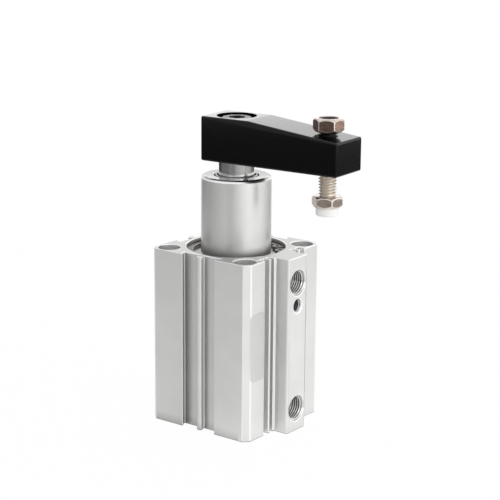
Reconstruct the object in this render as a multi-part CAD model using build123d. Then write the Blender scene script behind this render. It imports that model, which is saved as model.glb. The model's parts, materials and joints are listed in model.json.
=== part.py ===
from build123d import *
import math
import os

# Driving dimensions, millimetres. Origin: centre of the base, on the rod axis. +Z is up,
# +X is the side with the two air ports.

# cylinder tube (extruded and machined aluminium)
body_width = 64.0
body_height = 94.2
side_wall = 7.0
corner_chamfer = 3.0
cover_seat_step = 1.3
cover_seat_depth = 8.2
mount_inset = 7.0
mount_hole_dia = 6.6
mount_cbore_dia = 12.0
mount_cbore_depth = 7.0

# sensor grooves
groove_depth = 4.0
groove_half_mouth = 10.4
groove_half_floor = 12.3
rib_width = 3.2
rib_web = 1.4
side_slot_outer = 17.2
side_slot_floor = 18.4
side_rib_offset = 12.6
side_lip = 1.2

# port block, its heights measured down from the body's top and up from its base
block_width = 16.4
block_reach = 8.4
block_corner_radius = 1.4
port_thread_dia = 13.16
port_thread_depth = 9.0
port_drill_dia = 11.45
port_mouth_dia = 13.8
port_depth = 11.0
upper_port_drop = 13.7
lower_port_z = 12.3
upper_passage_drop = 16.7
lower_passage_z = 11.0
passage_dia = 4.0
set_screw_dia = 6.8
set_screw_mouth_dia = 7.8
set_screw_drop = 26.0
set_screw_length = 8.0
set_screw_tip = 2.0
set_screw_socket_flats = 4.0
set_screw_socket_depth = 3.0

# rod cover with its long boss
cover_depth = 30.2
cover_skirt_gap = 2.5
cover_skirt_drop = 13.7
cover_flange_drop = 3.5
boss_ledge = 6.5
boss_height = 37.0
boss_chamfer = 1.0
bush_length = 24.0
bush_wall = 1.5
seal_length = 5.4
wiper_length = 5.8
seal_seat_dia = 24.0
guide_pin_dia = 5.0
guide_pin_rise = 6.0
guide_pin_reach = 1.7
swing_angle = 90.0

# retaining rings
top_ring_width = 4.4
top_ring_thickness = 1.5
top_ring_bite = 0.9
top_ring_gap_angle = 45.0
top_ring_gap = 3.0
ring_ear_radius = 2.6
ring_ear_hole_dia = 2.5
ring_ear_offset = 4.2
ring_ear_inset = 4.5
foot_ring_z = 1.0
foot_ring_thickness = 1.5
foot_ring_width = 4.0
foot_ring_bite = 1.2
foot_ring_gap = 6.0

# head cover and the two bumpers
head_cover_height = 6.5
bumper_thickness = 1.5
bumper_inner_dia = 25.0
bumper_wall_gap = 4.0

# static o-rings: groove width, groove depth and the cord's corners
o_ring_groove_width = 2.6
o_ring_groove_depth = 2.0
o_ring_corner = 0.6

# piston
piston_height = 13.0
piston_foot_step = 3.0
piston_foot_height = 3.1
magnet_z = 3.7
magnet_width = 2.0
magnet_depth = 3.2
piston_seal_z = 6.5
piston_seal_width = 3.0
piston_seal_depth = 4.0
wear_ring_z = 10.3
wear_ring_width = 2.0
wear_ring_depth = 1.8
spigot_dia = 12.0
piston_nut_flats = 19.0
piston_nut_height = 4.5
nut_recess_dia = 22.8
nut_recess_depth = 5.2
static_ring_drop = 4.0
static_ring_width = 1.9
static_ring_depth = 1.3

# piston rod
rod_dia = 19.0
arm_spigot_dia = 15.0
cam_groove_root = 7.5
cam_groove_run_out = 3.2

# clamp arm
arm_yaw = 3.5
arm_lift = 8.8
arm_width = 25.0
arm_root_height = 23.3
arm_tip_height = 17.3
arm_back = 14.6
arm_length = 67.4
arm_slope_start = 14.6
arm_edge_radius = 1.0
arm_root_radius = 1.8
arm_recess_dia = 21.0
arm_recess_depth = 13.2
washer_thickness = 2.5
arm_screw_dia = 10.0
arm_screw_head_dia = 16.0
arm_screw_head_height = 10.0
arm_screw_head_chamfer = 0.6
arm_screw_socket_flats = 8.0
arm_screw_socket_depth = 5.0
arm_screw_length = 22.0
arm_screw_hole_depth = 25.0

# contact bolt, its lock nut and pad, measured from the arm's tip and underside
bolt_inset = 12.2
bolt_dia = 9.8
bolt_flats = 14.0
bolt_head_drop = 17.9
bolt_head_height = 5.8
bolt_head_turn = 19.0
bolt_end_rise = 25.0
bolt_end_chamfer = 1.0
hex_break = 1.5
hex_break_rise = 1.3
lock_nut_rise = 20.5
lock_nut_height = 7.0
lock_nut_turn = 22.0
pad_dia = 11.5
pad_height = 4.5
pad_edge_radius = 1.2
pad_stud_dia = 5.0
pad_stud_length = 2.6
pad_stud_room = 0.4

# clearances
fit_gap = 0.05
sliding_gap = 0.2
groove_gap = 0.3
seat_gap = 0.1
thread_gap = 0.1
washer_gap = 0.3

# worked out across the axis
half = body_width / 2
block_face = half + block_reach
bore_r = half - side_wall
bore_dia = 2 * bore_r
cover_seat_r = bore_r + cover_seat_step
cover_land_r = bore_r - seat_gap
skirt_r = bore_r - cover_skirt_gap
boss_r = bore_r - boss_ledge
mount_pitch = body_width - 2 * mount_inset
rod_r = rod_dia / 2
seal_r = seal_seat_dia / 2
bush_r = rod_r + bush_wall
bolt_offset = arm_length - bolt_inset

# worked out along the axis
head_cover_z = foot_ring_z + foot_ring_thickness
head_cover_top_z = head_cover_z + head_cover_height
head_o_ring_z = head_cover_z + (head_cover_height - o_ring_groove_width) / 2
piston_z = head_cover_top_z + bumper_thickness
piston_top_z = piston_z + piston_height
piston_nut_top_z = piston_z + nut_recess_depth
static_ring_z = piston_top_z - static_ring_drop
cover_bottom_z = body_height - cover_depth
cover_skirt_top_z = body_height - cover_skirt_drop
cover_seat_z = body_height - cover_seat_depth
cover_o_ring_z = (cover_skirt_top_z + cover_seat_z - o_ring_groove_width) / 2
cover_flange_top_z = body_height - cover_flange_drop
upper_port_z = body_height - upper_port_drop
upper_passage_z = body_height - upper_passage_drop
set_screw_z = body_height - set_screw_drop
guide_pin_z = cover_bottom_z + guide_pin_rise
boss_top_z = body_height + boss_height
wiper_seat_z = boss_top_z - wiper_length
seal_seat_z = wiper_seat_z - seal_length
bush_seat_z = seal_seat_z - bush_length
stroke = cover_bottom_z - bumper_thickness - piston_top_z
twist_per_mm = swing_angle / stroke
arm_bottom_z = boss_top_z + arm_lift
arm_top_z = arm_bottom_z + arm_root_height
recess_floor_z = arm_top_z - arm_recess_depth
bolt_head_bottom_z = arm_bottom_z - bolt_head_drop
bolt_head_top_z = bolt_head_bottom_z + bolt_head_height
bolt_end_z = arm_bottom_z + bolt_end_rise
lock_nut_z = arm_bottom_z + lock_nut_rise
lock_nut_top_z = lock_nut_z + lock_nut_height


def disc(radius, z0, z1):
    """Upright cylinder between two heights."""
    return Pos(0, 0, z0) * Cylinder(radius, z1 - z0, align=(Align.CENTER, Align.CENTER, Align.MIN))


def tube(outer, inner, z0, z1):
    """Upright ring between two heights."""
    return disc(outer, z0, z1) - disc(inner, z0 - 1, z1 + 1)


def radial_hole(radius, start, end, z, azimuth=0.0):
    """Cylinder that points away from the axis at an azimuth."""
    bar = Cylinder(radius, end - start, align=(Align.CENTER, Align.CENTER, Align.MIN))
    return Rot(0, 0, azimuth) * Pos(start, 0, z) * Rot(0, 90, 0) * bar


def revolved(points):
    """Solid of revolution about Z from (radius, height) points."""
    return revolve(Plane.XZ * make_face(Polyline(*points, close=True)), Axis.Z)


def hexagon(flats, z0, z1):
    """Upright hexagonal prism."""
    face = RegularPolygon(flats / 2, 6, major_radius=False)
    return Pos(0, 0, z0) * extrude(face, z1 - z0)


def rib_face(width, height):
    """Bulb-ended rib seen along the extrusion, its tip at y = 0, its web reaching down."""
    bulb = Pos(0, -width / 2) * Circle(width / 2)
    web = Pos(0, -height / 2 - width / 4) * Rectangle(rib_web, height - width / 2)
    return bulb + web


def groove_pair_face():
    """Pair of undercut sensor grooves with the bulb rib between them, mouth at y = 0."""
    mouth = make_face(Polyline(
        (-groove_half_mouth, 1), (groove_half_mouth, 1), (groove_half_mouth, 0),
        (groove_half_floor, -groove_depth), (-groove_half_floor, -groove_depth),
        (-groove_half_mouth, 0), close=True))
    return mouth - rib_face(rib_width, groove_depth)


def side_groove_face():
    """Narrow groove pair beside the port block, mouth at y = 0, with a plain rib and a lip at the block."""
    start = block_width / 2 + side_lip
    mouth = make_face(Polyline(
        (start, 1), (side_slot_outer, 1), (side_slot_outer, 0),
        (side_slot_floor, -groove_depth), (start, -groove_depth), close=True))
    return mouth - Pos(side_rib_offset, -groove_depth / 2) * Rectangle(rib_web, groove_depth)


def tube_section():
    """Cross-section of the extrusion, without the bore."""
    outline = chamfer(Rectangle(body_width, body_width).vertices(), corner_chamfer)
    block_length = block_reach + groove_depth
    block = Pos(block_face - block_length / 2, 0) * Rectangle(block_length, block_width)
    outline += fillet(block.vertices().group_by(Axis.X)[-1], block_corner_radius)
    for angle in (0, 90, 180):
        outline -= Rot(0, 0, angle) * Pos(0, half) * groove_pair_face()
    side = Rot(0, 0, -90) * Pos(0, half) * side_groove_face()
    return outline - side - mirror(side, Plane.XZ)


def cylinder_tube():
    body = extrude(tube_section(), body_height)
    body -= disc(bore_r, -1, body_height + 1)
    body -= disc(cover_seat_r, cover_seat_z, body_height + 1)
    body -= disc(cover_seat_r + top_ring_bite, cover_flange_top_z,
                 cover_flange_top_z + top_ring_thickness + fit_gap)
    body -= disc(bore_r + foot_ring_bite, foot_ring_z, head_cover_z + fit_gap)
    corners = GridLocations(mount_pitch, mount_pitch, 2, 2)
    for spot in corners:
        body -= spot * disc(mount_hole_dia / 2, -1, body_height + 1)
        body -= spot * disc(mount_cbore_dia / 2, body_height - mount_cbore_depth, body_height + 1)
    for port_z, passage_z in ((upper_port_z, upper_passage_z), (lower_port_z, lower_passage_z)):
        body -= radial_hole(port_drill_dia / 2, block_face - port_depth, block_face + 1, port_z)
        body -= radial_hole(port_thread_dia / 2, block_face - port_thread_depth, block_face + 1, port_z)
        body -= bore_mouth(port_thread_dia, port_mouth_dia, port_z)
        body -= radial_hole(passage_dia / 2, bore_r - 3, block_face - port_depth + 1, passage_z)
    body -= radial_hole(set_screw_dia / 2, bore_r - 3, block_face + 1, set_screw_z)
    return body - bore_mouth(set_screw_dia, set_screw_mouth_dia, set_screw_z)


def bore_mouth(hole_dia, mouth_dia, z):
    """Chamfer cutter where a side hole meets the port block's face."""
    depth = (mouth_dia - hole_dia) / 2
    cone = Cone(hole_dia / 2, mouth_dia / 2, depth, align=(Align.CENTER, Align.CENTER, Align.MIN))
    return Pos(block_face - depth, 0, z) * Rot(0, 90, 0) * cone


def rod_cover():
    flange_r = cover_seat_r - seat_gap
    bore = rod_r + groove_gap
    cover = revolved([
        (bore, cover_bottom_z), (skirt_r, cover_bottom_z), (skirt_r, cover_skirt_top_z),
        (cover_land_r, cover_skirt_top_z), (cover_land_r, cover_seat_z), (flange_r, cover_seat_z),
        (flange_r, cover_flange_top_z), (boss_r, cover_flange_top_z),
        (boss_r, boss_top_z - boss_chamfer), (boss_r - boss_chamfer, boss_top_z),
        (seal_r, boss_top_z), (seal_r, seal_seat_z), (bush_r, seal_seat_z),
        (bush_r, bush_seat_z), (bore, bush_seat_z)])
    cover -= o_ring_groove(cover_o_ring_z)
    for azimuth in (90, -90):
        cover -= radial_hole(guide_pin_dia / 2, 0, skirt_r + 1, guide_pin_z, azimuth)
    hole_r = set_screw_dia / 2 + fit_gap
    return cover - radial_hole(hole_r, skirt_r - set_screw_tip, skirt_r + 1, set_screw_z)


def o_ring_groove(z):
    """Cutter for an o-ring groove in a cover's land."""
    return tube(bore_r + 1, cover_land_r - o_ring_groove_depth, z, z + o_ring_groove_width)


def o_ring(z):
    """O-ring as it lies squeezed in its groove."""
    ring = tube(bore_r, cover_land_r - o_ring_groove_depth, z, z + o_ring_groove_width)
    return chamfer(ring.edges().filter_by(GeomType.CIRCLE), o_ring_corner)


def retaining_ring():
    """Internal circlip with two ears, its gap at the rear corner."""
    outer = cover_seat_r + top_ring_bite - fit_gap
    ring = Circle(outer) - Circle(outer - top_ring_width)
    ears = [Pos(outer - ring_ear_inset, side * ring_ear_offset) for side in (1, -1)]
    for ear in ears:
        ring += ear * Circle(ring_ear_radius)
    ring -= Pos(outer, 0) * Rectangle(4 * top_ring_width, top_ring_gap)
    for ear in ears:
        ring -= ear * Circle(ring_ear_hole_dia / 2)
    solid = extrude(ring, top_ring_thickness)
    return Pos(0, 0, cover_flange_top_z) * Rot(0, 0, top_ring_gap_angle) * solid


def foot_retaining_ring():
    """Plain snap ring that holds the head cover in."""
    outer = bore_r + foot_ring_bite - fit_gap
    ring = Circle(outer) - Circle(outer - foot_ring_width)
    ring -= Pos(-outer, 0) * Rectangle(4 * foot_ring_width, foot_ring_gap)
    return Pos(0, 0, foot_ring_z) * extrude(ring, foot_ring_thickness)


def head_cover():
    return disc(cover_land_r, head_cover_z, head_cover_top_z) - o_ring_groove(head_o_ring_z)


def rod_bush():
    return tube(bush_r - fit_gap, rod_r + fit_gap, bush_seat_z, seal_seat_z)


def rod_seal():
    """Lip seal, its open side down to the pressure."""
    inner, outer = rod_r + fit_gap, seal_r - fit_gap
    mid = (inner + outer) / 2
    top = wiper_seat_z
    return revolved([
        (inner, seal_seat_z), (mid - 0.4, seal_seat_z), (mid - 0.2, seal_seat_z + 2.0),
        (mid + 0.2, seal_seat_z + 2.0), (mid + 0.4, seal_seat_z), (outer, seal_seat_z),
        (outer, top), (inner, top)])


def rod_wiper():
    """Scraper ring with a lip that rises to the rod."""
    inner, outer = rod_r + fit_gap, seal_r - fit_gap
    rim = boss_top_z - 1.0
    return revolved([
        (inner, wiper_seat_z), (outer, wiper_seat_z), (outer, rim), (outer - 0.8, rim),
        (outer - 0.8, rim - 1.2), (inner + 0.7, rim - 1.2), (inner + 0.3, boss_top_z), (inner, boss_top_z)])


def guide_pin(azimuth):
    """Hardened pin pressed into the cover, its tip in the rod's cam groove."""
    tip = rod_r - guide_pin_reach
    return radial_hole(guide_pin_dia / 2, tip, skirt_r, guide_pin_z, azimuth)


def set_screw():
    start = skirt_r - set_screw_tip
    end = start + set_screw_length
    screw = radial_hole(set_screw_dia / 2 - fit_gap, start, end, set_screw_z)
    socket = hexagon(set_screw_socket_flats, 0, set_screw_socket_depth)
    return screw - Pos(end - set_screw_socket_depth, 0, set_screw_z) * Rot(0, 90, 0) * socket


def bumper(z):
    return tube(bore_r - bumper_wall_gap, bumper_inner_dia / 2, z, z + bumper_thickness)


def piston():
    body = disc(bore_r - sliding_gap, piston_z, piston_top_z)
    body -= tube(bore_r + 1, bore_r - piston_foot_step, piston_z - 1, piston_z + piston_foot_height)
    for z, width, depth in ((magnet_z, magnet_width, magnet_depth),
                            (piston_seal_z, piston_seal_width, piston_seal_depth),
                            (wear_ring_z, wear_ring_width, wear_ring_depth)):
        body -= tube(bore_r + 1, bore_r - sliding_gap - depth, piston_z + z, piston_z + z + width)
    body -= disc(spigot_dia / 2 + fit_gap, piston_z - 1, piston_top_z + 1)
    return body - disc(nut_recess_dia / 2, piston_z - 1, piston_nut_top_z)


def piston_ring(z, width, depth, gap):
    """Band lying in one of the piston's grooves."""
    inner = bore_r - sliding_gap - depth
    return tube(bore_r - gap, inner + fit_gap, piston_z + z, piston_z + z + width)


def piston_nut():
    low, top = piston_nut_top_z - piston_nut_height, piston_nut_top_z
    return hexagon(piston_nut_flats, low, top) - disc(spigot_dia / 2, low - 1, top + 1)


def cam_groove():
    """Helical groove cutter: one notch each side, twisted over the whole stroke."""
    low = guide_pin_z - stroke - cam_groove_run_out
    high = guide_pin_z + cam_groove_run_out
    lean = rod_r * math.radians(twist_per_mm)
    half_width = guide_pin_dia / 2 * math.hypot(1, lean) + groove_gap
    reach = rod_dia
    notch = Pos((cam_groove_root + reach) / 2, 0) * Rectangle(reach - cam_groove_root, 2 * half_width)
    start = 90 - twist_per_mm * (guide_pin_z - low)
    cutters = []
    for azimuth in (start, start + 180):
        face = Pos(0, 0, low) * Rot(0, 0, azimuth) * notch.face()
        cutters.append(Solid.extrude_linear_with_rotation(
            face, (0, 0, low), (0, 0, high - low), twist_per_mm * (high - low)))
    return cutters


def piston_rod():
    spigot_r = spigot_dia / 2
    rod = disc(rod_r, piston_top_z, arm_bottom_z)
    rod += disc(spigot_r, piston_nut_top_z - piston_nut_height, piston_top_z)
    rod += disc(arm_spigot_dia / 2, arm_bottom_z, recess_floor_z - sliding_gap)
    for cutter in cam_groove():
        rod -= cutter
    ring_floor = spigot_r - static_ring_depth
    rod -= tube(spigot_r + 1, ring_floor, static_ring_z, static_ring_z + static_ring_width)
    return rod - disc(arm_screw_dia / 2, recess_floor_z - arm_screw_hole_depth, recess_floor_z + 1)


def rod_static_ring():
    """Seal between the rod's spigot and the piston."""
    spigot_r = spigot_dia / 2
    return tube(spigot_r, spigot_r - static_ring_depth, static_ring_z, static_ring_z + static_ring_width)


def clamp_arm():
    profile = make_face(Polyline(
        (-arm_back, arm_bottom_z), (arm_length, arm_bottom_z),
        (arm_length, arm_bottom_z + arm_tip_height), (arm_slope_start, arm_top_z),
        (-arm_back, arm_top_z), close=True))
    arm = Pos(0, arm_width / 2, 0) * extrude(Plane.XZ * profile, arm_width)
    arm = fillet(arm.edges().filter_by(Axis.Z).group_by(Axis.X)[0], arm_root_radius)
    sharp = arm.edges().filter_by(Axis.Z).filter_by_position(Axis.X, -arm_back, 0)
    sharp += arm.edges().filter_by(Axis.Y).sort_by(lambda edge: abs(edge.center().X - arm_slope_start))[:1]
    arm = fillet([edge for edge in arm.edges() if edge not in sharp], arm_edge_radius)
    arm -= disc(arm_spigot_dia / 2 + fit_gap, arm_bottom_z - 1, recess_floor_z + 1)
    arm -= disc(arm_recess_dia / 2, recess_floor_z, arm_top_z + 1)
    arm -= Pos(bolt_offset, 0, 0) * disc(bolt_dia / 2 + thread_gap, arm_bottom_z - 1, arm_top_z + 1)
    return arm


def arm_washer():
    outer = arm_recess_dia / 2 - washer_gap
    return tube(outer, arm_screw_dia / 2 + seat_gap, recess_floor_z, recess_floor_z + washer_thickness)


def arm_screw():
    """Socket head cap screw that draws the arm onto the rod."""
    seat = recess_floor_z + washer_thickness
    top = seat + arm_screw_head_height
    screw = disc(arm_screw_dia / 2 - fit_gap, recess_floor_z - arm_screw_length, seat)
    head = disc(arm_screw_head_dia / 2, seat, top)
    screw += chamfer(head.edges().filter_by(GeomType.CIRCLE).sort_by(Axis.Z)[-1], arm_screw_head_chamfer)
    return screw - hexagon(arm_screw_socket_flats, top - arm_screw_socket_depth, top + 1)


def turned_hexagon(flats, z0, z1):
    """Hexagon whose corners are turned to a cone at both ends."""
    corner = flats / math.sqrt(3)
    rim = corner - hex_break
    cone = revolved([(0, z0), (rim, z0), (corner, z0 + hex_break_rise),
                     (corner, z1 - hex_break_rise), (rim, z1), (0, z1)])
    return hexagon(flats, z0, z1) & cone


def contact_bolt():
    bolt = Rot(0, 0, bolt_head_turn) * turned_hexagon(bolt_flats, bolt_head_bottom_z, bolt_head_top_z)
    shank = disc(bolt_dia / 2, bolt_head_top_z, bolt_end_z)
    bolt += chamfer(shank.edges().filter_by(GeomType.CIRCLE).sort_by(Axis.Z)[-1], bolt_end_chamfer)
    hole_depth = pad_stud_length + pad_stud_room
    return bolt - disc(pad_stud_dia / 2, bolt_head_bottom_z - 1, bolt_head_bottom_z + hole_depth)


def contact_pad():
    low = bolt_head_bottom_z - pad_height
    pad = disc(pad_dia / 2, low, bolt_head_bottom_z)
    pad = fillet(pad.edges().filter_by(GeomType.CIRCLE).sort_by(Axis.Z)[0], pad_edge_radius)
    stud_r = pad_stud_dia / 2 - thread_gap
    return pad + disc(stud_r, bolt_head_bottom_z, bolt_head_bottom_z + pad_stud_length)


def lock_nut():
    nut = Rot(0, 0, lock_nut_turn) * turned_hexagon(bolt_flats, lock_nut_z, lock_nut_top_z)
    return nut - disc(bolt_dia / 2 + thread_gap, lock_nut_z - 1, lock_nut_top_z + 1)


on_arm = Rot(0, 0, arm_yaw)
at_bolt = on_arm * Pos(bolt_offset, 0, 0)

nodes = {
    "cylinder_tube": cylinder_tube(),
    "rod_cover": rod_cover(),
    "cover_retaining_ring": retaining_ring(),
    "cover_o_ring": o_ring(cover_o_ring_z),
    "rod_bush": rod_bush(),
    "rod_seal": rod_seal(),
    "rod_wiper": rod_wiper(),
    "guide_pin_rear": guide_pin(90),
    "guide_pin_front": guide_pin(-90),
    "cover_set_screw": set_screw(),
    "rod_bumper": bumper(cover_bottom_z - bumper_thickness),
    "head_cover": head_cover(),
    "head_cover_o_ring": o_ring(head_o_ring_z),
    "head_retaining_ring": foot_retaining_ring(),
    "head_bumper": bumper(head_cover_top_z),
    "piston_seal": piston_ring(piston_seal_z, piston_seal_width, piston_seal_depth, fit_gap),
    "wear_ring": piston_ring(wear_ring_z, wear_ring_width, wear_ring_depth, fit_gap),
    "piston": piston(),
    "piston_magnet": piston_ring(magnet_z, magnet_width, magnet_depth, 2 * sliding_gap),
    "piston_nut": piston_nut(),
    "piston_rod": piston_rod(),
    "rod_static_ring": rod_static_ring(),
    "clamp_arm": on_arm * clamp_arm(),
    "arm_washer": on_arm * arm_washer(),
    "arm_screw": on_arm * arm_screw(),
    "contact_bolt": at_bolt * contact_bolt(),
    "contact_pad": at_bolt * contact_pad(),
    "lock_nut": at_bolt * lock_nut(),
}

os.makedirs("parts", exist_ok=True)
for name, shape in nodes.items():
    export_step(shape, f"parts/{name}.step")
    print(name, shape.is_valid, len(shape.solids()), round(shape.volume, 1))
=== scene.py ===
import json
import math

import bmesh
import bpy
from mathutils import Matrix, Vector

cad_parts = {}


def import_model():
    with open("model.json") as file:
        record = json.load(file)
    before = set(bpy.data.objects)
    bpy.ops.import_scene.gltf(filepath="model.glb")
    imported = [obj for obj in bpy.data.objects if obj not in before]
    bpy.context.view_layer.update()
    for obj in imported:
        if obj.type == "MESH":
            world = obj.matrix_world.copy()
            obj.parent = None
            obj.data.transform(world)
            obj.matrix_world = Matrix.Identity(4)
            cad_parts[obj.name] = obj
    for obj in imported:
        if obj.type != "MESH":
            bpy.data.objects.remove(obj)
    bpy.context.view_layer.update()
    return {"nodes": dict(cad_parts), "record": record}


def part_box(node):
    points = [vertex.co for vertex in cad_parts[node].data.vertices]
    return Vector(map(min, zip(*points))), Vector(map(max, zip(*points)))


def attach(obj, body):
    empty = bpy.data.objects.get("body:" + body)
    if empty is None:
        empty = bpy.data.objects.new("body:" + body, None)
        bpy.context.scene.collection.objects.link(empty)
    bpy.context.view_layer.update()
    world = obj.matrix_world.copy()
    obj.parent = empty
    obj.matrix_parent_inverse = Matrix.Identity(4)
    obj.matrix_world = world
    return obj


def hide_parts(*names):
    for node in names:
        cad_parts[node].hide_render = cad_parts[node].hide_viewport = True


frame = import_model()
nodes = frame["nodes"]
record = frame["record"]
MM = 0.001

# Sizes of the part, in mm

# thread of the clamp bolt, the nut's play round it, and how far the nut's thread stays inside its ends
BOLT_PITCH, BOLT_CREST, BOLT_ROOT = 1.5, 4.78, 3.85
NUT_PLAY, NUT_INSET = 0.1, 0.3
# bolt's head: a radius that only the head reaches beyond, and how far below its top the solid is cut off
# and the thread starts
HEAD_RADIUS, HEAD_CUT, HEAD_OVERLAP = 6.0, 0.02, 0.1
# thread of the air ports, and its start below the block's face
PORT_PITCH, PORT_THREAD_HEIGHT, PORT_START = 1.337, 0.86, 0.35
# screw hole between the ports: its thread starts, turns black as painted shade and ends at these depths
SCREW_HOLE_RADIUS, SCREW_HOLE_PITCH = 3.4, 1.25
SCREW_HOLE_START, SCREW_HOLE_MOUTH, SCREW_HOLE_THREAD = 0.5, 2.4, 6.0
SCREW_HOLE_THREAD_HEIGHT = SCREW_HOLE_PITCH / 2
# an inside thread's root within its bore
ROOT_INSET = 0.02
# flat crest and flank of a thread, as shares of half its pitch, and rows of points in each turn
THREAD_FLAT, THREAD_FLANK, THREAD_ROWS = 0.12, 0.76, 12
# boss's upper face: its rise, and its fall below the top with the distance outside the solid's rim
BOSS_RISE = 1.1
CROWN = ((0.0, -0.85), (0.07, -0.6), (0.42, 0.08), (0.68, 0.46))
# boss's chamfer: its foot below the top, a depth that only the solid's own foot lies under, and the range
# of its faces' upward share, which get the edge look as a painted highlight
CROWN_FOOT, SOLID_FOOT, CHAMFER_FACING = 1.45, 2.0, (0.35, 0.65)
# rise of the wiper's lip and case, and the case's inner and outer radius, chamfer, depth and faces round it
LIP_RISE, CASE_RISE = 1.15, 1.25
CASE_INNER, CASE_OUTER, CASE_CHAMFER, CASE_DEPTH, CASE_FACES = 10.4, 11.1, 0.25, 2.5, 96
# satin blank on the right face: low y, high y, low z, high z, corner, rise over the face and depth below it
BLANK = (-29.3, -17.4, 31.5, 68.5, 3.0, 0.12, 0.05)
BLANK_CORNER_STEPS = 6
# what counts as the same height, the same radius and one point, and a level face by its upward share
SAME_HEIGHT, SAME_RADIUS, SAME_POINT, LEVEL_FACING = 0.01, 0.05, 0.002, 0.9
# angles in degrees: triangles of one flat face, edges that stay soft on most pieces and on threads, and
# edges that get a bevel
FLAT_ANGLE, SOFT_ANGLE, THREAD_SOFT_ANGLE, BEVEL_ANGLE = 0.6, 32.0, 70.0, 38.0
BEVEL_SEGMENTS = 3
# a face belongs to the ends of a turned piece or a hexagon from this share of up or down; such ends carry
# painted light
TURNED_END_FACING, HEXAGON_END_FACING = 0.4, 0.3

# Looks

# usual range of the noise, and cells per metre of the arm's orange peel and dust
NOISE_LOW, NOISE_HIGH = 0.3, 0.7
PEEL_SCALE, DUST_SCALE = 420.0, 2500.0
# rays that tell how open a spot is, and a quarter turn of drawn-out reflections, across the tool marks
RECESS_RAYS, QUARTER_TURN = 8, 0.25
# the body's lower edge lies in its own shadow on the sheet: height in mm, and share of its brightness
FOOT_HEIGHT, FOOT_SHARE = 0.6, 0.25

# Stage, in m

# round white sheet that the part stands on: radius, centre, drop below the base and faces round it; and its
# white, as a surface and as the share that the camera and mirrors see
SHEET_RADIUS, SHEET_CENTRE, SHEET_DROP, SHEET_FACES = 0.46, (-0.05, -0.04), 0.0002, 96
SHEET_DIFFUSE, SHEET_SEEN = 0.9, 0.97
# brightness of the sheet in mirrors, by azimuth in degrees: brighter where the lamp is nearer
SHEET_LIGHT = ((-180, 0.70), (-110, 0.63), (-60, 0.83), (-35, 0.95), (0, 0.90), (60, 0.86), (120, 0.80))
# room round the sheet: inner and outer radius, height, drop of its floor and foot of its walls; it is left
# open behind the part between two azimuths in degrees
ROOM_INNER, ROOM_RADIUS, ROOM_HEIGHT, ROOM_DROP, WALL_FOOT = 0.3, 1.0, 1.0, 0.0005, 0.002
ROOM_OPEN, ROOM_FACES = (98, 158), 130
# brightness of the room by azimuth in degrees: its floor beyond the sheet, its walls, and their upper part
ROOM_FLOOR = ((-180, 0.03), (-150, 0.14), (-110, 0.12), (-90, 0.17), (-70, 0.18), (-50, 0.32), (-10, 0.42),
              (10, 0.35), (39, 0.34), (60, 0.15), (98, 0.08))
ROOM_WALL = ((-180, 0.45), (-150, 0.20), (-110, 0.80), (-90, 1.00), (-70, 0.25), (-50, 1.10), (-10, 2.40),
             (30, 2.60), (50, 1.80), (75, 1.90))
ROOM_UPPER = ((-180, 0.80), (-140, 0.80), (-110, 0.45), (-60, 0.95), (-20, 0.90), (20, 1.00))
# heights where the walls' brightness and that of their upper part start
ROOM_WALL_START, ROOM_UPPER_START = 0.001, 0.3
# lamps: name, place, aim, size, and brightness, where 1 is as bright as white
LAMPS = (("strip_behind", (-0.16, 0.24, 0.219), (0.0, 0, 0.17), (0.30, 0.040), 1.1),
         ("panel_behind", (-0.11, 0.24, 0.256), (0.03, 0, 0.16), (0.24, 0.046), 0.75),
         ("key_right", (0.85, -0.25, 0.55), (0, 0, 0.06), (0.5, 0.5), 1.0))
# camera: its sensor in mm, its focal length and picture width in pixels, its place, and its directions
SENSOR, FOCAL_PIXELS, WIDTH_PIXELS, CLIP_START = 36.0, 1571.5, 500.0, 0.05
CAMERA_AT = (0.4898, -0.6387, 0.2936)
CAMERA_RIGHT, CAMERA_UP = (0.7979, 0.6028, 0.0076), (-0.1526, 0.1898, 0.9699)
CAMERA_BACK = (0.5832, -0.7750, 0.2434)


# Materials

def empty_material(name):
    """A node material that has only its output."""
    mat = bpy.data.materials.new(name)
    mat.use_nodes = True
    tree = mat.node_tree
    tree.nodes.clear()
    return mat, tree, tree.nodes.new("ShaderNodeOutputMaterial")


def new_material(name):
    """A node material with its Principled shader."""
    mat, tree, out = empty_material(name)
    shader = tree.nodes.new("ShaderNodeBsdfPrincipled")
    tree.links.new(shader.outputs[0], out.inputs[0])
    return mat, tree, shader


def grey(value):
    """A colour without a tint."""
    return value, value, value


def feed(tree, value, socket):
    """Gives a socket its value, a number or another socket."""
    if isinstance(value, (int, float)):
        socket.default_value = value
    else:
        tree.links.new(value, socket)


def math_node(tree, operation, *values):
    """A Math node of sockets or numbers."""
    node = tree.nodes.new("ShaderNodeMath")
    node.operation = operation
    for socket, value in zip(node.inputs, values):
        feed(tree, value, socket)
    return node.outputs[0]


def where(tree, mask, inside, outside=1.0):
    """One share where a mask is 1, and another where it is 0."""
    return math_node(tree, "MULTIPLY_ADD", mask, inside - outside, outside)


def coordinates(tree, kind="Object"):
    """Object coordinates, or another kind of the same node."""
    return tree.nodes.new("ShaderNodeTexCoord").outputs[kind]


def split(tree, vector):
    """The x, y and z of a vector."""
    node = tree.nodes.new("ShaderNodeSeparateXYZ")
    tree.links.new(vector, node.inputs[0])
    return node.outputs


def place(tree, turned=False):
    """Object coordinates, or for a turned part (radius, 0, height), so that its marks run round it."""
    if not turned:
        return coordinates(tree)
    x, y, z = split(tree, coordinates(tree))
    radius = math_node(tree, "SQRT", math_node(tree, "ADD", math_node(tree, "MULTIPLY", x, x),
                                               math_node(tree, "MULTIPLY", y, y)))
    joined = tree.nodes.new("ShaderNodeCombineXYZ")
    tree.links.new(radius, joined.inputs[0])
    tree.links.new(z, joined.inputs[2])
    return joined.outputs[0]


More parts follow.
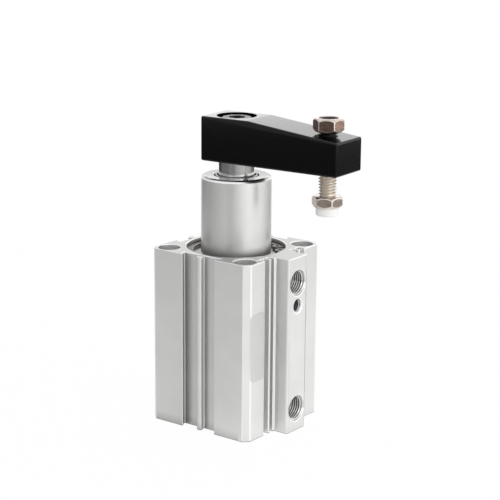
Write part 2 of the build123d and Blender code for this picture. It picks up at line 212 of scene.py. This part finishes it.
def noise(tree, scale, stretch=(1, 1, 1), detail=3.0, rough=0.5, turned=False):
    """Noise in cells per metre, stretched by scaling the coordinates."""
    mapping = tree.nodes.new("ShaderNodeMapping")
    mapping.inputs["Scale"].default_value = stretch
    tex = tree.nodes.new("ShaderNodeTexNoise")
    tex.inputs["Scale"].default_value = scale
    tex.inputs["Detail"].default_value = detail
    tex.inputs["Roughness"].default_value = rough
    tree.links.new(place(tree, turned), mapping.inputs[0])
    tree.links.new(mapping.outputs[0], tex.inputs["Vector"])
    return tex.outputs["Fac"]


def spread(tree, value, low, high):
    """Maps the noise's usual range to low..high."""
    node = tree.nodes.new("ShaderNodeMapRange")
    limits = {"From Min": NOISE_LOW, "From Max": NOISE_HIGH, "To Min": low, "To Max": high}
    for name, limit in limits.items():
        node.inputs[name].default_value = limit
    tree.links.new(value, node.inputs["Value"])
    return node.outputs[0]


def tint(tree, value, dark, light):
    """Colour between two by the noise."""
    ramp = tree.nodes.new("ShaderNodeValToRGB")
    for stop, position, colour in zip(ramp.color_ramp.elements, (NOISE_LOW, NOISE_HIGH), (dark, light)):
        stop.position = position
        stop.color = (*colour, 1)
    tree.links.new(value, ramp.inputs[0])
    return ramp.outputs[0]


def bump(tree, shader, height, bump_mm, strength):
    """Small unevenness of the skin by a height from the node tree."""
    node = tree.nodes.new("ShaderNodeBump")
    node.inputs["Distance"].default_value = bump_mm * MM
    node.inputs["Strength"].default_value = strength
    tree.links.new(height, node.inputs["Height"])
    tree.links.new(node.outputs[0], shader.inputs["Normal"])


def shaded(tree, colour, share):
    """The colour times a brightness from the node tree."""
    shade = tree.nodes.new("ShaderNodeVectorMath")
    shade.operation = "SCALE"
    tree.links.new(colour, shade.inputs[0])
    tree.links.new(share, shade.inputs["Scale"])
    return shade.outputs[0]


def closeness(tree, depth_mm):
    """How hidden a spot is, from 0 on an open face to 1 deep in a recess."""
    open_share = tree.nodes.new("ShaderNodeAmbientOcclusion")
    open_share.samples = RECESS_RAYS
    open_share.inputs["Distance"].default_value = depth_mm * MM
    return math_node(tree, "SUBTRACT", 1.0, open_share.outputs["AO"])


def metal(name, dark, light, rough, scale, stretch=(1, 1, 1), bump_mm=0.01, strength=0.2, metallic=1.0,
          turned=False, anisotropy=0.0, ends=None, cloud=(60.0, (1, 1, 1)), painted_recess_shade=None, lit_side=None):
    """Metal with a grain: roughness and bump follow one noise, the colour a slower one.
    On a turned part the reflections can be drawn out along the axis, across the tool marks, and the
    machined ends, which look up or down, have their own share of the roughness; their brightness share is
    painted light, painted shade below 1 and painted highlight above 1.
    cloud is the scale and stretch of the colour's noise. The recess shade is painted shade in recesses: the
    depth in mm that counts as a recess and the brightness kept there; lit_side is the x in mm beyond which
    recesses keep only a share of that painted shade."""
    mat, tree, shader = new_material(name)
    grain = noise(tree, scale, stretch, detail=4.0, rough=0.6, turned=turned)
    colour = tint(tree, noise(tree, *cloud, detail=2.0), dark, light)
    roughness = spread(tree, grain, *rough)
    # painted light on the ends: a brightness share that darkens them as painted shade or lightens them as
    # painted highlight
    if ends:
        facing = math_node(tree, "ABSOLUTE", split(tree, coordinates(tree, "Normal"))[2])
        at_end = math_node(tree, "GREATER_THAN", facing, TURNED_END_FACING)
        roughness = math_node(tree, "MULTIPLY", roughness, where(tree, at_end, ends[0]))
        colour = shaded(tree, colour, where(tree, at_end, ends[1]))
    # painted shade: the colour darkens where the surface is hidden in a recess, less so on the lit side
    if painted_recess_shade:
        painted_shade = math_node(tree, "MULTIPLY", closeness(tree, painted_recess_shade[0]), 1 - painted_recess_shade[1])
        if lit_side:
            lit = math_node(tree, "GREATER_THAN", split(tree, coordinates(tree))[0], lit_side[0] * MM)
            painted_shade = math_node(tree, "MULTIPLY", painted_shade, where(tree, lit, lit_side[1]))
        colour = shaded(tree, colour, math_node(tree, "SUBTRACT", 1.0, painted_shade))
    tree.links.new(colour, shader.inputs["Base Color"])
    tree.links.new(roughness, shader.inputs["Roughness"])
    shader.inputs["Metallic"].default_value = metallic
    bump(tree, shader, grain, bump_mm, strength)
    if anisotropy:
        tangent = tree.nodes.new("ShaderNodeTangent")
        tangent.direction_type = "RADIAL"
        tangent.axis = "Z"
        tree.links.new(tangent.outputs[0], shader.inputs["Tangent"])
        shader.inputs["Anisotropic"].default_value = anisotropy
        shader.inputs["Anisotropic Rotation"].default_value = QUARTER_TURN
    return mat


def plain(name, dark, light, rough, scale=900.0, bump_mm=0.02, strength=0.25):
    """Non-metal with a fine skin."""
    mat, tree, shader = new_material(name)
    grain = noise(tree, scale)
    tree.links.new(tint(tree, grain, dark, light), shader.inputs["Base Color"])
    tree.links.new(spread(tree, grain, *rough), shader.inputs["Roughness"])
    bump(tree, shader, grain, bump_mm, strength)
    return mat


def arm_paint():
    """Glossy black stove paint with a slight orange peel."""
    mat, tree, shader = new_material("arm_paint")
    peel = noise(tree, PEEL_SCALE, detail=1.0)
    dust = noise(tree, DUST_SCALE, detail=2.0)
    tree.links.new(tint(tree, dust, grey(0.0012), grey(0.0028)), shader.inputs["Base Color"])
    tree.links.new(spread(tree, dust, low=0.08, high=0.13), shader.inputs["Roughness"])
    shader.inputs["Specular IOR Level"].default_value = 0.3
    bump(tree, shader, peel, bump_mm=0.03, strength=0.12)
    return mat


def dark_foot(mat, height_mm, share):
    """Darkens a material below a height."""
    tree = mat.node_tree
    base = next(n for n in tree.nodes if n.type == "BSDF_PRINCIPLED").inputs["Base Color"]
    above = math_node(tree, "GREATER_THAN", split(tree, coordinates(tree))[2], height_mm * MM)
    tree.links.new(shaded(tree, base.links[0].from_socket, where(tree, above, 1.0, share)), base)


# metals: dark and light end of the colour, range of the roughness, cells per metre of the grain, and what
# else differs from the usual
METALS = {
    # tube: painted shade on its upward and downward faces and in its recesses, less on the lit right side
    "tube_aluminium": dict(dark=(0.81, 0.81, 0.80), light=(0.85, 0.85, 0.84), rough=(0.38, 0.46),
                           scale=1100.0, stretch=(1, 1, 0.02), strength=0.12, metallic=0.92,
                           ends=(0.9, 0.62), painted_recess_shade=(6.0, 0.3), lit_side=(26.5, 0.2)),
    # the tube's edge look: near-white on bevels, a painted highlight
    "tube_edge_highlight": dict(dark=grey(0.97), light=grey(0.99), rough=(0.45, 0.55), scale=1500.0, bump_mm=0.004),
    # rod cover: painted shade on its ends and in its recesses, such as under the arm
    "cover_aluminium": dict(dark=(0.73, 0.73, 0.72), light=(0.77, 0.77, 0.76), rough=(0.32, 0.38),
                            scale=2600.0, bump_mm=0.004, strength=0.06, metallic=0.97, turned=True,
                            anisotropy=0.4, ends=(0.45, 0.45), painted_recess_shade=(4.0, 0.6)),
    # the cover's edge look: near-white on bevels and the boss's chamfer, a painted highlight
    "cover_edge_highlight": dict(dark=grey(0.90), light=grey(0.93), rough=(0.25, 0.32), scale=2600.0, turned=True,
                       bump_mm=0.003),
    # cut faces of holes: painted shade in their recesses
    "cut_aluminium": dict(dark=(0.70, 0.70, 0.69), light=(0.76, 0.76, 0.75), rough=(0.16, 0.24),
                          scale=1500.0, bump_mm=0.004, painted_recess_shade=(3.0, 0.15)),
    "piston_aluminium": dict(dark=(0.62, 0.62, 0.61), light=(0.68, 0.68, 0.67), rough=(0.28, 0.36),
                             scale=2000.0, turned=True),
    "rod_chrome": dict(dark=grey(0.84), light=grey(0.90), rough=(0.10, 0.14), scale=2600.0, bump_mm=0.003,
                       strength=0.05, turned=True),
    "spring_steel": dict(dark=(0.09, 0.083, 0.074), light=(0.14, 0.128, 0.115), rough=(0.26, 0.36),
                         scale=900.0),
    # the ring's edge look: much lighter than its steel, a painted highlight
    "spring_edge_highlight": dict(dark=(0.50, 0.46, 0.41), light=(0.60, 0.56, 0.50), rough=(0.30, 0.40), scale=900.0,
                        bump_mm=0.004),
    "hardened_steel": dict(dark=grey(0.36), light=grey(0.46), rough=(0.25, 0.35), scale=900.0),
    # black steel, also put as painted shade on threads and a screw that lie in shade
    "black_steel": dict(dark=grey(0.055), light=grey(0.10), rough=(0.30, 0.42), scale=900.0),
    "bolt_nickel": dict(dark=(0.66, 0.60, 0.53), light=(0.78, 0.72, 0.65), rough=(0.13, 0.19), scale=700.0,
                        bump_mm=0.006, strength=0.1),
    # bolt head: a painted highlight on its faces that look up or down
    "head_nickel": dict(dark=(0.56, 0.46, 0.38), light=(0.74, 0.64, 0.55), rough=(0.14, 0.22), scale=900.0,
                        stretch=(0.4, 0.4, 1.6), strength=0.15, ends=(1.0, 1.4),
                        cloud=(700.0, (0.35, 0.35, 1))),
    # the nickel edge look on bevels, ends and chamfers, a painted highlight
    "nickel_edge_highlight": dict(dark=(0.66, 0.58, 0.54), light=(0.82, 0.74, 0.70), rough=(0.30, 0.40), scale=900.0,
                        bump_mm=0.006),
    "bush_brass": dict(dark=(0.55, 0.41, 0.20), light=(0.66, 0.50, 0.27), rough=(0.30, 0.40), scale=1500.0,
                       turned=True),
    # nut: a strong painted highlight on its faces that look up or down
    "nut_nickel": dict(dark=(0.20, 0.135, 0.105), light=(0.34, 0.235, 0.185), rough=(0.14, 0.22),
                       scale=900.0, stretch=(0.4, 0.4, 1.6), strength=0.15, ends=(1.0, 2.2),
                       cloud=(700.0, (0.35, 0.35, 1))),
    "blank_satin": dict(dark=(0.70, 0.70, 0.695), light=(0.72, 0.72, 0.715), rough=(0.38, 0.46),
                        scale=1500.0, bump_mm=0.005, metallic=0.92),
}
# rubbers and plastics, in the same way
PLAINS = {
    "seal_rubber": dict(dark=grey(0.012), light=grey(0.022), rough=(0.45, 0.6)),
    "wiper_rubber": dict(dark=grey(0.010), light=grey(0.020), rough=(0.45, 0.6), bump_mm=0.01),
    "bumper_rubber": dict(dark=(0.05, 0.05, 0.045), light=(0.08, 0.08, 0.07), rough=(0.5, 0.65)),
    "wear_ring_plastic": dict(dark=(0.42, 0.37, 0.28), light=(0.52, 0.47, 0.36), rough=(0.45, 0.55)),
    "magnet": dict(dark=(0.05, 0.045, 0.045), light=(0.09, 0.08, 0.08), rough=(0.5, 0.65)),
    "pad_plastic": dict(dark=(0.88, 0.87, 0.85), light=(0.91, 0.90, 0.88), rough=(0.35, 0.42), scale=1500.0,
                        bump_mm=0.006, strength=0.1),
}
mats = {name: metal(name, **look) for name, look in METALS.items()}
mats.update({name: plain(name, **look) for name, look in PLAINS.items()})
mats["arm_paint"] = arm_paint()
dark_foot(mats["tube_edge_highlight"], FOOT_HEIGHT, FOOT_SHARE)

# material and body of each CAD node
node_slot = {s["node"]: s["material_slot"] for s in record["subparts"]}
node_body = {n: b for b, names in record["behaviour"]["bodies"].items() for n in names}
for name, obj in nodes.items():
    obj.data.materials.clear()
    obj.data.materials.append(mats[node_slot[name]])


# Pieces

def link_mesh(name, bm, *looks):
    """An object of a finished bmesh in its materials."""
    mesh = bpy.data.meshes.new(name)
    bm.to_mesh(mesh)
    bm.free()
    obj = bpy.data.objects.new(name, mesh)
    bpy.context.scene.collection.objects.link(obj)
    for look in looks:
        mesh.materials.append(look)
    return obj


def add_mesh(name, bm, slot, body, smooth_deg=SOFT_ANGLE, bevel_mm=0.0, hide=(), highlight_look=None):
    """A piece from a bmesh, with sharp edges kept and an optional fine bevel in a lighter look of its own,
    a painted highlight.
    """
    limit = math.radians(smooth_deg)
    for face in bm.faces:
        face.smooth = True
    for edge in bm.edges:
        if len(edge.link_faces) == 2:
            edge.smooth = edge.calc_face_angle(0.0) < limit
    obj = link_mesh(name, bm, mats[slot], *([mats[highlight_look]] if highlight_look else []))
    if bevel_mm:
        mod = obj.modifiers.new("edge", "BEVEL")
        mod.width = bevel_mm * MM
        mod.segments = BEVEL_SEGMENTS
        mod.limit_method = "ANGLE"
        mod.angle_limit = math.radians(BEVEL_ANGLE)
        mod.use_clamp_overlap = False
        # bevel faces take the edge look, a painted highlight
        mod.material = 1 if highlight_look else -1
    even = obj.modifiers.new("even_flats", "WEIGHTED_NORMAL")
    even.keep_sharp = True
    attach(obj, body)
    for node in hide:
        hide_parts(node)


def crown_boss(bm):
    """Raises the boss's upper face and rounds it off to its chamfer, so that its front mirrors the arm;
    the chamfer gets the edge look, a painted highlight.
    """
    top = max(v.co.z for v in bm.verts)
    flat = [f for f in bm.faces
            if f.normal.z > LEVEL_FACING and f.calc_center_median().z > top - SAME_HEIGHT * MM]
    loops = {e for f in flat for e in f.edges if sum(g in flat for g in e.link_faces) == 1}
    reach = max(v.co.xy.length for e in loops for v in e.verts)
    outer = {v for e in loops for v in e.verts if v.co.xy.length > reach - SAME_RADIUS * MM}
    inner_edges = [e for e in loops if not outer.intersection(e.verts)]
    bmesh.ops.delete(bm, geom=flat, context="FACES")
    for v in {v for e in inner_edges for v in e.verts}:
        v.co.z += BOSS_RISE * MM
    top += BOSS_RISE * MM
    ring = sorted(outer, key=lambda v: math.atan2(v.co.y, v.co.x))
    for v in ring:
        for edge in v.link_edges:
            foot = edge.other_vert(v)
            if foot.co.z < top - SOLID_FOOT * MM:
                foot.co.z = top - CROWN_FOOT * MM
    fall, out = CROWN[-1]
    for v in ring:
        v.co = Vector((*(v.co.xy * (1 + out * MM / reach)), top - fall * MM))
    for fall, out in CROWN[-2::-1]:
        inside = [bm.verts.new((*(v.co.xy.normalized() * (reach + out * MM)), top - fall * MM))
                  for v in ring]
        for k in range(len(ring)):
            bm.faces.new((ring[k - 1], ring[k], inside[k], inside[k - 1]))
        ring = inside
    last = [bm.edges.get((ring[k - 1], ring[k])) for k in range(len(ring))]
    bmesh.ops.bridge_loops(bm, edges=inner_edges + last)
    bmesh.ops.recalc_face_normals(bm, faces=bm.faces)
    # the chamfer's faces take the edge look, a painted highlight
    least, most = CHAMFER_FACING
    for face in bm.faces:
        if least < face.normal.z < most and face.calc_center_median().z > top - CROWN_FOOT * MM:
            face.material_index = 1


def raise_lip(bm):
    """Lifts the wiper's lip along the rod."""
    top = max(v.co.z for v in bm.verts)
    for v in bm.verts:
        if v.co.z > top - SAME_HEIGHT * MM:
            v.co.z += LIP_RISE * MM


def wiper_case():
    """Bright metal case of the wiper, between its lip and the boss."""
    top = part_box("rod_cover")[1][2] + CASE_RISE * MM
    profile = ((CASE_INNER, -CASE_DEPTH), (CASE_INNER, -CASE_CHAMFER), (CASE_INNER + CASE_CHAMFER, 0),
               (CASE_OUTER - CASE_CHAMFER, 0), (CASE_OUTER, -CASE_CHAMFER), (CASE_OUTER, -CASE_DEPTH))
    bm = bmesh.new()
    columns = []
    for i in range(CASE_FACES):
        a = 2 * math.pi * i / CASE_FACES
        columns.append([bm.verts.new((r * MM * math.cos(a), r * MM * math.sin(a), top + z * MM))
                        for r, z in profile])
    for i in range(CASE_FACES):
        a, b = columns[i - 1], columns[i]
        for j in range(len(profile)):
            bm.faces.new((a[j - 1], a[j], b[j], b[j - 1]))
    bmesh.ops.recalc_face_normals(bm, faces=bm.faces)
    add_mesh("wiper_case", bm, "cut_aluminium", "cylinder", smooth_deg=50.0)


def paint_highlight_on_ends(bm):
    """Gives the ends and chamfers of a hexagon the look of its edges, a painted highlight."""
    for face in bm.faces:
        face.material_index = 1 if abs(face.normal.z) > HEXAGON_END_FACING else 0


def cad_copy(node):
    """A clean bmesh of a CAD node: doubles merged and flat triangles joined."""
    bm = bmesh.new()
    bm.from_mesh(nodes[node].data)
    bmesh.ops.remove_doubles(bm, verts=bm.verts, dist=SAME_POINT * MM)
    bmesh.ops.dissolve_limit(bm, angle_limit=math.radians(FLAT_ANGLE), verts=bm.verts, edges=bm.edges)
    return bm


def skin(node, bevel_mm, look=None, change=None, highlight_look=None, smooth_deg=SOFT_ANGLE):
    """The CAD node again with softened edges, in its place."""
    bm = cad_copy(node)
    if change:
        change(bm)
    add_mesh(node + "_skin", bm, look or node_slot[node], node_body[node], smooth_deg, bevel_mm, (node,),
             highlight_look)


def thread_radius(phase, crest, root):
    """Radius of a metric thread at a phase of its pitch, with flat crest and root."""
    t = abs(phase % 1.0 - 0.5) * 2
    k = min(1.0, max(0.0, (t - THREAD_FLAT) / THREAD_FLANK))
    return crest + (root - crest) * k


def thread(bm, crest, root, pitch, z0, z1, matrix, run_out, around=72):
    """Helical thread surface about local Z, between the radii of its crest and root. At both ends it runs
    out to the root over a share of the pitch. An inside thread's root has the larger radius."""
    rows = int((z1 - z0) / pitch * THREAD_ROWS)
    grid = []
    for j in range(rows + 1):
        z = z0 + (z1 - z0) * j / rows
        fade = min(1.0, min(z - z0, z1 - z) / (run_out * pitch))
        ring = []
        for i in range(around):
            a = 2 * math.pi * i / around
            r = thread_radius(z / pitch - i / around, crest, root)
            r = root + (r - root) * fade
            ring.append(bm.verts.new(matrix @ Vector((r * math.cos(a), r * math.sin(a), z))))
        grid.append(ring)
    for j in range(rows):
        for i in range(around):
            k = (i + 1) % around
            quad = (grid[j][i], grid[j][k], grid[j + 1][k], grid[j + 1][i])
            bm.faces.new(quad if crest > root else quad[::-1])
    return grid


def bolt_axis():
    """Point at the base's height on the clamp bolt's axis, which runs through the middle of its pad."""
    low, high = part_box("contact_pad")
    return Vector(((low[0] + high[0]) / 2, (low[1] + high[1]) / 2, 0))


def clamp_bolt():
    """Hexagon head of the solid, and a cut thread above it that is painted black as shade from the arm's
    middle up.
    """
    axis = bolt_axis()
    corners = [v.co for v in nodes["contact_bolt"].data.vertices
               if (v.co.xy - axis.xy).length > HEAD_RADIUS * MM]
    head_top = max(v.z for v in corners)
    bolt_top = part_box("contact_bolt")[1][2]
    bm = cad_copy("contact_bolt")
    bmesh.ops.bisect_plane(bm, geom=bm.verts[:] + bm.edges[:] + bm.faces[:],
                           plane_co=(0, 0, head_top - HEAD_CUT * MM), plane_no=(0, 0, 1), clear_outer=True)
    bmesh.ops.edgeloop_fill(bm, edges=[e for e in bm.edges if e.is_boundary])
    paint_highlight_on_ends(bm)
    add_mesh("bolt_head", bm, "head_nickel", "bolt", bevel_mm=0.45, hide=("contact_bolt",),
             highlight_look="nickel_edge_highlight")
    arm_low, arm_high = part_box("clamp_arm")[0][2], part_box("lock_nut")[0][2]
    middle = (arm_low + arm_high) / 2
    # from the arm's middle up the thread lies in shade between nut and arm, and is painted black as shade
    for name, z0, z1, look in (("bolt_thread", head_top - HEAD_OVERLAP * MM, middle, "bolt_nickel"),
                               ("bolt_end", middle, bolt_top, "black_steel")):
        bm = bmesh.new()
        rings = thread(bm, BOLT_CREST * MM, BOLT_ROOT * MM, BOLT_PITCH * MM, z0, z1,
                       Matrix.Translation(axis), run_out=0.7)
        bm.faces.new(rings[-1])
        add_mesh(name, bm, look, "bolt", smooth_deg=THREAD_SOFT_ANGLE)


def nut_thread():
    """Inside thread of the lock nut, painted black as shade."""
    low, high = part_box("lock_nut")
    bm = bmesh.new()
    thread(bm, BOLT_ROOT * MM, (BOLT_CREST + NUT_PLAY) * MM, BOLT_PITCH * MM, low[2] + NUT_INSET * MM,
           high[2] - NUT_INSET * MM, Matrix.Translation(bolt_axis()), run_out=0.5)
    add_mesh("nut_thread", bm, "black_steel", "nut", smooth_deg=THREAD_SOFT_ANGLE)


def side_thread(name, z, radius, length, pitch, height, start, look="cut_aluminium"):
    """Inside thread of a hole in the port block, from a start below its face down to its length."""
    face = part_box("cylinder_tube")[1][0]
    at_hole = Matrix.Translation((0, 0, z)) @ Matrix.Rotation(math.radians(90), 4, "Y")
    bm = bmesh.new()
    thread(bm, radius - height, radius - ROOT_INSET * MM, pitch, face - length, face - start, at_hole,
           run_out=0.6, around=64)
    add_mesh(name, bm, look, "cylinder", smooth_deg=THREAD_SOFT_ANGLE)


def port_threads():
    """Threads of the air ports, sized by the record's mounts, and of the screw hole between them, whose
    deeper part is painted black as shade.
    """
    for mount in record["mounts"]:
        if mount["kind"] == "threaded_hole":
            side_thread(mount["name"] + "_thread", mount["pos_m"][2], mount["dims"]["r_mm"] * MM,
                        mount["dims"]["length_mm"] * MM, PORT_PITCH * MM, PORT_THREAD_HEIGHT * MM,
                        PORT_START * MM)
    low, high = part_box("cover_set_screw")
    # the screw hole's deeper thread is painted black as shade
    for name, end, start, look in (
            ("screw_hole_mouth", SCREW_HOLE_MOUTH, SCREW_HOLE_START, "cut_aluminium"),
            ("screw_hole_thread", SCREW_HOLE_THREAD, SCREW_HOLE_MOUTH, "black_steel")):
        side_thread(name, (low[2] + high[2]) / 2, SCREW_HOLE_RADIUS * MM, end * MM, SCREW_HOLE_PITCH * MM,
                    SCREW_HOLE_THREAD_HEIGHT * MM, start * MM, look)


def blank():
    """Satin blank with round corners on the right face, a hair proud of it. The body is square, so that
    face lies as far out as the left one."""
    y0, y1, z0, z1, corner, rise, sunk = BLANK
    x = -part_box("cylinder_tube")[0][0]
    outline = []
    for cy, cz, turn in ((y1, z1, 0), (y0, z1, 90), (y0, z0, 180), (y1, z0, 270)):
        sy, sz = (1 if cy == y1 else -1), (1 if cz == z1 else -1)
        for k in range(BLANK_CORNER_STEPS + 1):
            a = math.radians(turn + 90 * k / BLANK_CORNER_STEPS)
            outline.append((cy - sy * corner + corner * math.cos(a),
                            cz - sz * corner + corner * math.sin(a)))
    bm = bmesh.new()
    low = [bm.verts.new((x - sunk * MM, y * MM, z * MM)) for y, z in outline]
    top = [bm.verts.new((x + rise * MM, y * MM, z * MM)) for y, z in outline]
    bm.faces.new(top)
    bm.faces.new(low[::-1])
    for k in range(len(low)):
        n = (k + 1) % len(low)
        bm.faces.new((low[k], low[n], top[n], top[k]))
    add_mesh("right_face_blank", bm, "blank_satin", "cylinder", bevel_mm=0.1, highlight_look="tube_edge_highlight")


clamp_bolt()
nut_thread()
port_threads()
blank()
skin("lock_nut", bevel_mm=0.35, look="nut_nickel", change=paint_highlight_on_ends, highlight_look="nickel_edge_highlight")
skin("clamp_arm", bevel_mm=0.0)
skin("cylinder_tube", bevel_mm=0.4, highlight_look="tube_edge_highlight")
# the set screw at the bottom of its hole is painted black as shade
nodes["cover_set_screw"].data.materials[0] = mats["black_steel"]
skin("rod_cover", bevel_mm=0.2, change=crown_boss, highlight_look="cover_edge_highlight", smooth_deg=25.0)
skin("cover_retaining_ring", bevel_mm=0.12, highlight_look="spring_edge_highlight")
skin("rod_wiper", bevel_mm=0.1, change=raise_lip)
wiper_case()
for node, bevel_mm in (("arm_screw", 0.2), ("arm_washer", 0.2), ("contact_pad", 0.25)):
    skin(node, bevel_mm)


# Stage

def azimuth(tree, centre=(0, 0)):
    """Azimuth about the part as 0..1, and the height; centre is where the object itself has its origin."""
    x, y, z = split(tree, coordinates(tree))
    x, y = math_node(tree, "ADD", x, centre[0]), math_node(tree, "ADD", y, centre[1])
    return math_node(tree, "MULTIPLY_ADD", math_node(tree, "ARCTAN2", y, x), 0.5 / math.pi, 0.5), z


def ring_curve(tree, turn, stops):
    """Brightness round the part from stops of azimuth in degrees and value."""
    band = tree.nodes.new("ShaderNodeFloatCurve")
    curve = band.mapping.curves[0]
    band.mapping.use_clip = False
    curve.points[0].location = (0.0, stops[0][1])
    curve.points[1].location = (1.0, stops[0][1])
    for angle, value in stops[1:]:
        curve.points.new(angle / 360 + 0.5, value)
    for point in curve.points:
        point.handle_type = "VECTOR"
    band.mapping.update()
    tree.links.new(turn, band.inputs["Value"])
    return band.outputs[0]


def blend(tree, share, low, high):
    """The low value where the share is 0 and the high one where it is 1."""
    mix = tree.nodes.new("ShaderNodeMix")
    for name, value in (("Factor", share), ("A", low), ("B", high)):
        feed(tree, value, mix.inputs[name])
    return mix.outputs["Result"]


def sheet_material():
    """Matt white that the camera and mirrors see as white, and that keeps a faint shadow."""
    mat, tree, out = empty_material("sheet_white")
    diffuse = tree.nodes.new("ShaderNodeBsdfDiffuse")
    diffuse.inputs["Color"].default_value = (*grey(SHEET_DIFFUSE), 1)
    glow = tree.nodes.new("ShaderNodeEmission")
    path = tree.nodes.new("ShaderNodeLightPath")
    mirrored = math_node(tree, "MAXIMUM", path.outputs["Is Glossy Ray"],
                         path.outputs["Is Transmission Ray"])
    seen = math_node(tree, "MAXIMUM", path.outputs["Is Camera Ray"], mirrored)
    level = ring_curve(tree, azimuth(tree, SHEET_CENTRE)[0], SHEET_LIGHT)
    tree.links.new(blend(tree, mirrored, 1.0, level), glow.inputs["Strength"])
    mix = tree.nodes.new("ShaderNodeMixShader")
    tree.links.new(math_node(tree, "MULTIPLY", seen, SHEET_SEEN), mix.inputs[0])
    tree.links.new(diffuse.outputs[0], mix.inputs[1])
    tree.links.new(glow.outputs[0], mix.inputs[2])
    tree.links.new(mix.outputs[0], out.inputs[0])
    return mat


def sheet():
    """Round white sheet that the part stands on."""
    bm = bmesh.new()
    bmesh.ops.create_circle(bm, cap_ends=True, segments=SHEET_FACES, radius=SHEET_RADIUS)
    obj = link_mesh("sheet", bm, sheet_material())
    obj.location = (*SHEET_CENTRE, -SHEET_DROP)


def room_material():
    """Light of the room's floor and walls, by azimuth about the part."""
    mat, tree, out = empty_material("room_light")
    glow = tree.nodes.new("ShaderNodeEmission")
    turn, z = azimuth(tree)
    light = ring_curve(tree, turn, ROOM_FLOOR)
    for stops, start in ((ROOM_WALL, ROOM_WALL_START), (ROOM_UPPER, ROOM_UPPER_START)):
        light = blend(tree, math_node(tree, "GREATER_THAN", z, start), light, ring_curve(tree, turn, stops))
    tree.links.new(light, glow.inputs["Color"])
    tree.links.new(glow.outputs[0], out.inputs[0])
    return mat


def room():
    """Floor beyond the sheet and the walls of the room, left open behind the part."""
    start, end = ROOM_OPEN[1] - 360, ROOM_OPEN[0]
    profile = ((ROOM_INNER, -ROOM_DROP), (ROOM_RADIUS, -ROOM_DROP), (ROOM_RADIUS, WALL_FOOT),
               (ROOM_RADIUS, ROOM_HEIGHT))
    bm = bmesh.new()
    columns = []
    for k in range(ROOM_FACES + 1):
        a = math.radians(start + (end - start) * k / ROOM_FACES)
        columns.append([bm.verts.new((r * math.cos(a), r * math.sin(a), z)) for r, z in profile])
    for a, b in zip(columns, columns[1:]):
        for j in range(len(profile) - 1):
            bm.faces.new((a[j], a[j + 1], b[j + 1], b[j]))
    obj = link_mesh("room", bm, room_material())


def world():
    """Plain white."""
    studio = bpy.data.worlds.new("studio")
    bpy.context.scene.world = studio
    studio.use_nodes = True
    tree = studio.node_tree
    tree.nodes.clear()
    out = tree.nodes.new("ShaderNodeOutputWorld")
    sky = tree.nodes.new("ShaderNodeBackground")
    sky.inputs["Color"].default_value = (*grey(1), 1)
    sky.inputs["Strength"].default_value = 1.0
    tree.links.new(sky.outputs[0], out.inputs[0])


def softbox(name, at, aim, size, brightness):
    """Area lamp of a given brightness, unseen by the camera itself."""
    lamp = bpy.data.lights.new(name, "AREA")
    lamp.shape = "RECTANGLE"
    lamp.size, lamp.size_y = size
    lamp.energy = brightness * math.pi * size[0] * size[1]
    obj = bpy.data.objects.new(name, lamp)
    obj.location = at
    obj.rotation_euler = (Vector(aim) - Vector(at)).to_track_quat("-Z", "Y").to_euler()
    obj.visible_camera = False
    bpy.context.scene.collection.objects.link(obj)


def camera():
    """The camera, a long lens to the right front and a little above the part."""
    cam = bpy.data.cameras.new("camera")
    cam.sensor_width = SENSOR
    cam.sensor_fit = "HORIZONTAL"
    cam.lens = FOCAL_PIXELS * SENSOR / WIDTH_PIXELS
    cam.clip_start = CLIP_START
    obj = bpy.data.objects.new("camera", cam)
    turn = Matrix((CAMERA_RIGHT, CAMERA_UP, CAMERA_BACK)).transposed().to_4x4()
    obj.matrix_world = Matrix.Translation(CAMERA_AT) @ turn
    bpy.context.scene.collection.objects.link(obj)
    bpy.context.scene.camera = obj


sheet()
room()
world()
for lamp in LAMPS:
    softbox(*lamp)
camera()

scene = bpy.context.scene
scene.view_settings.view_transform = "Standard"
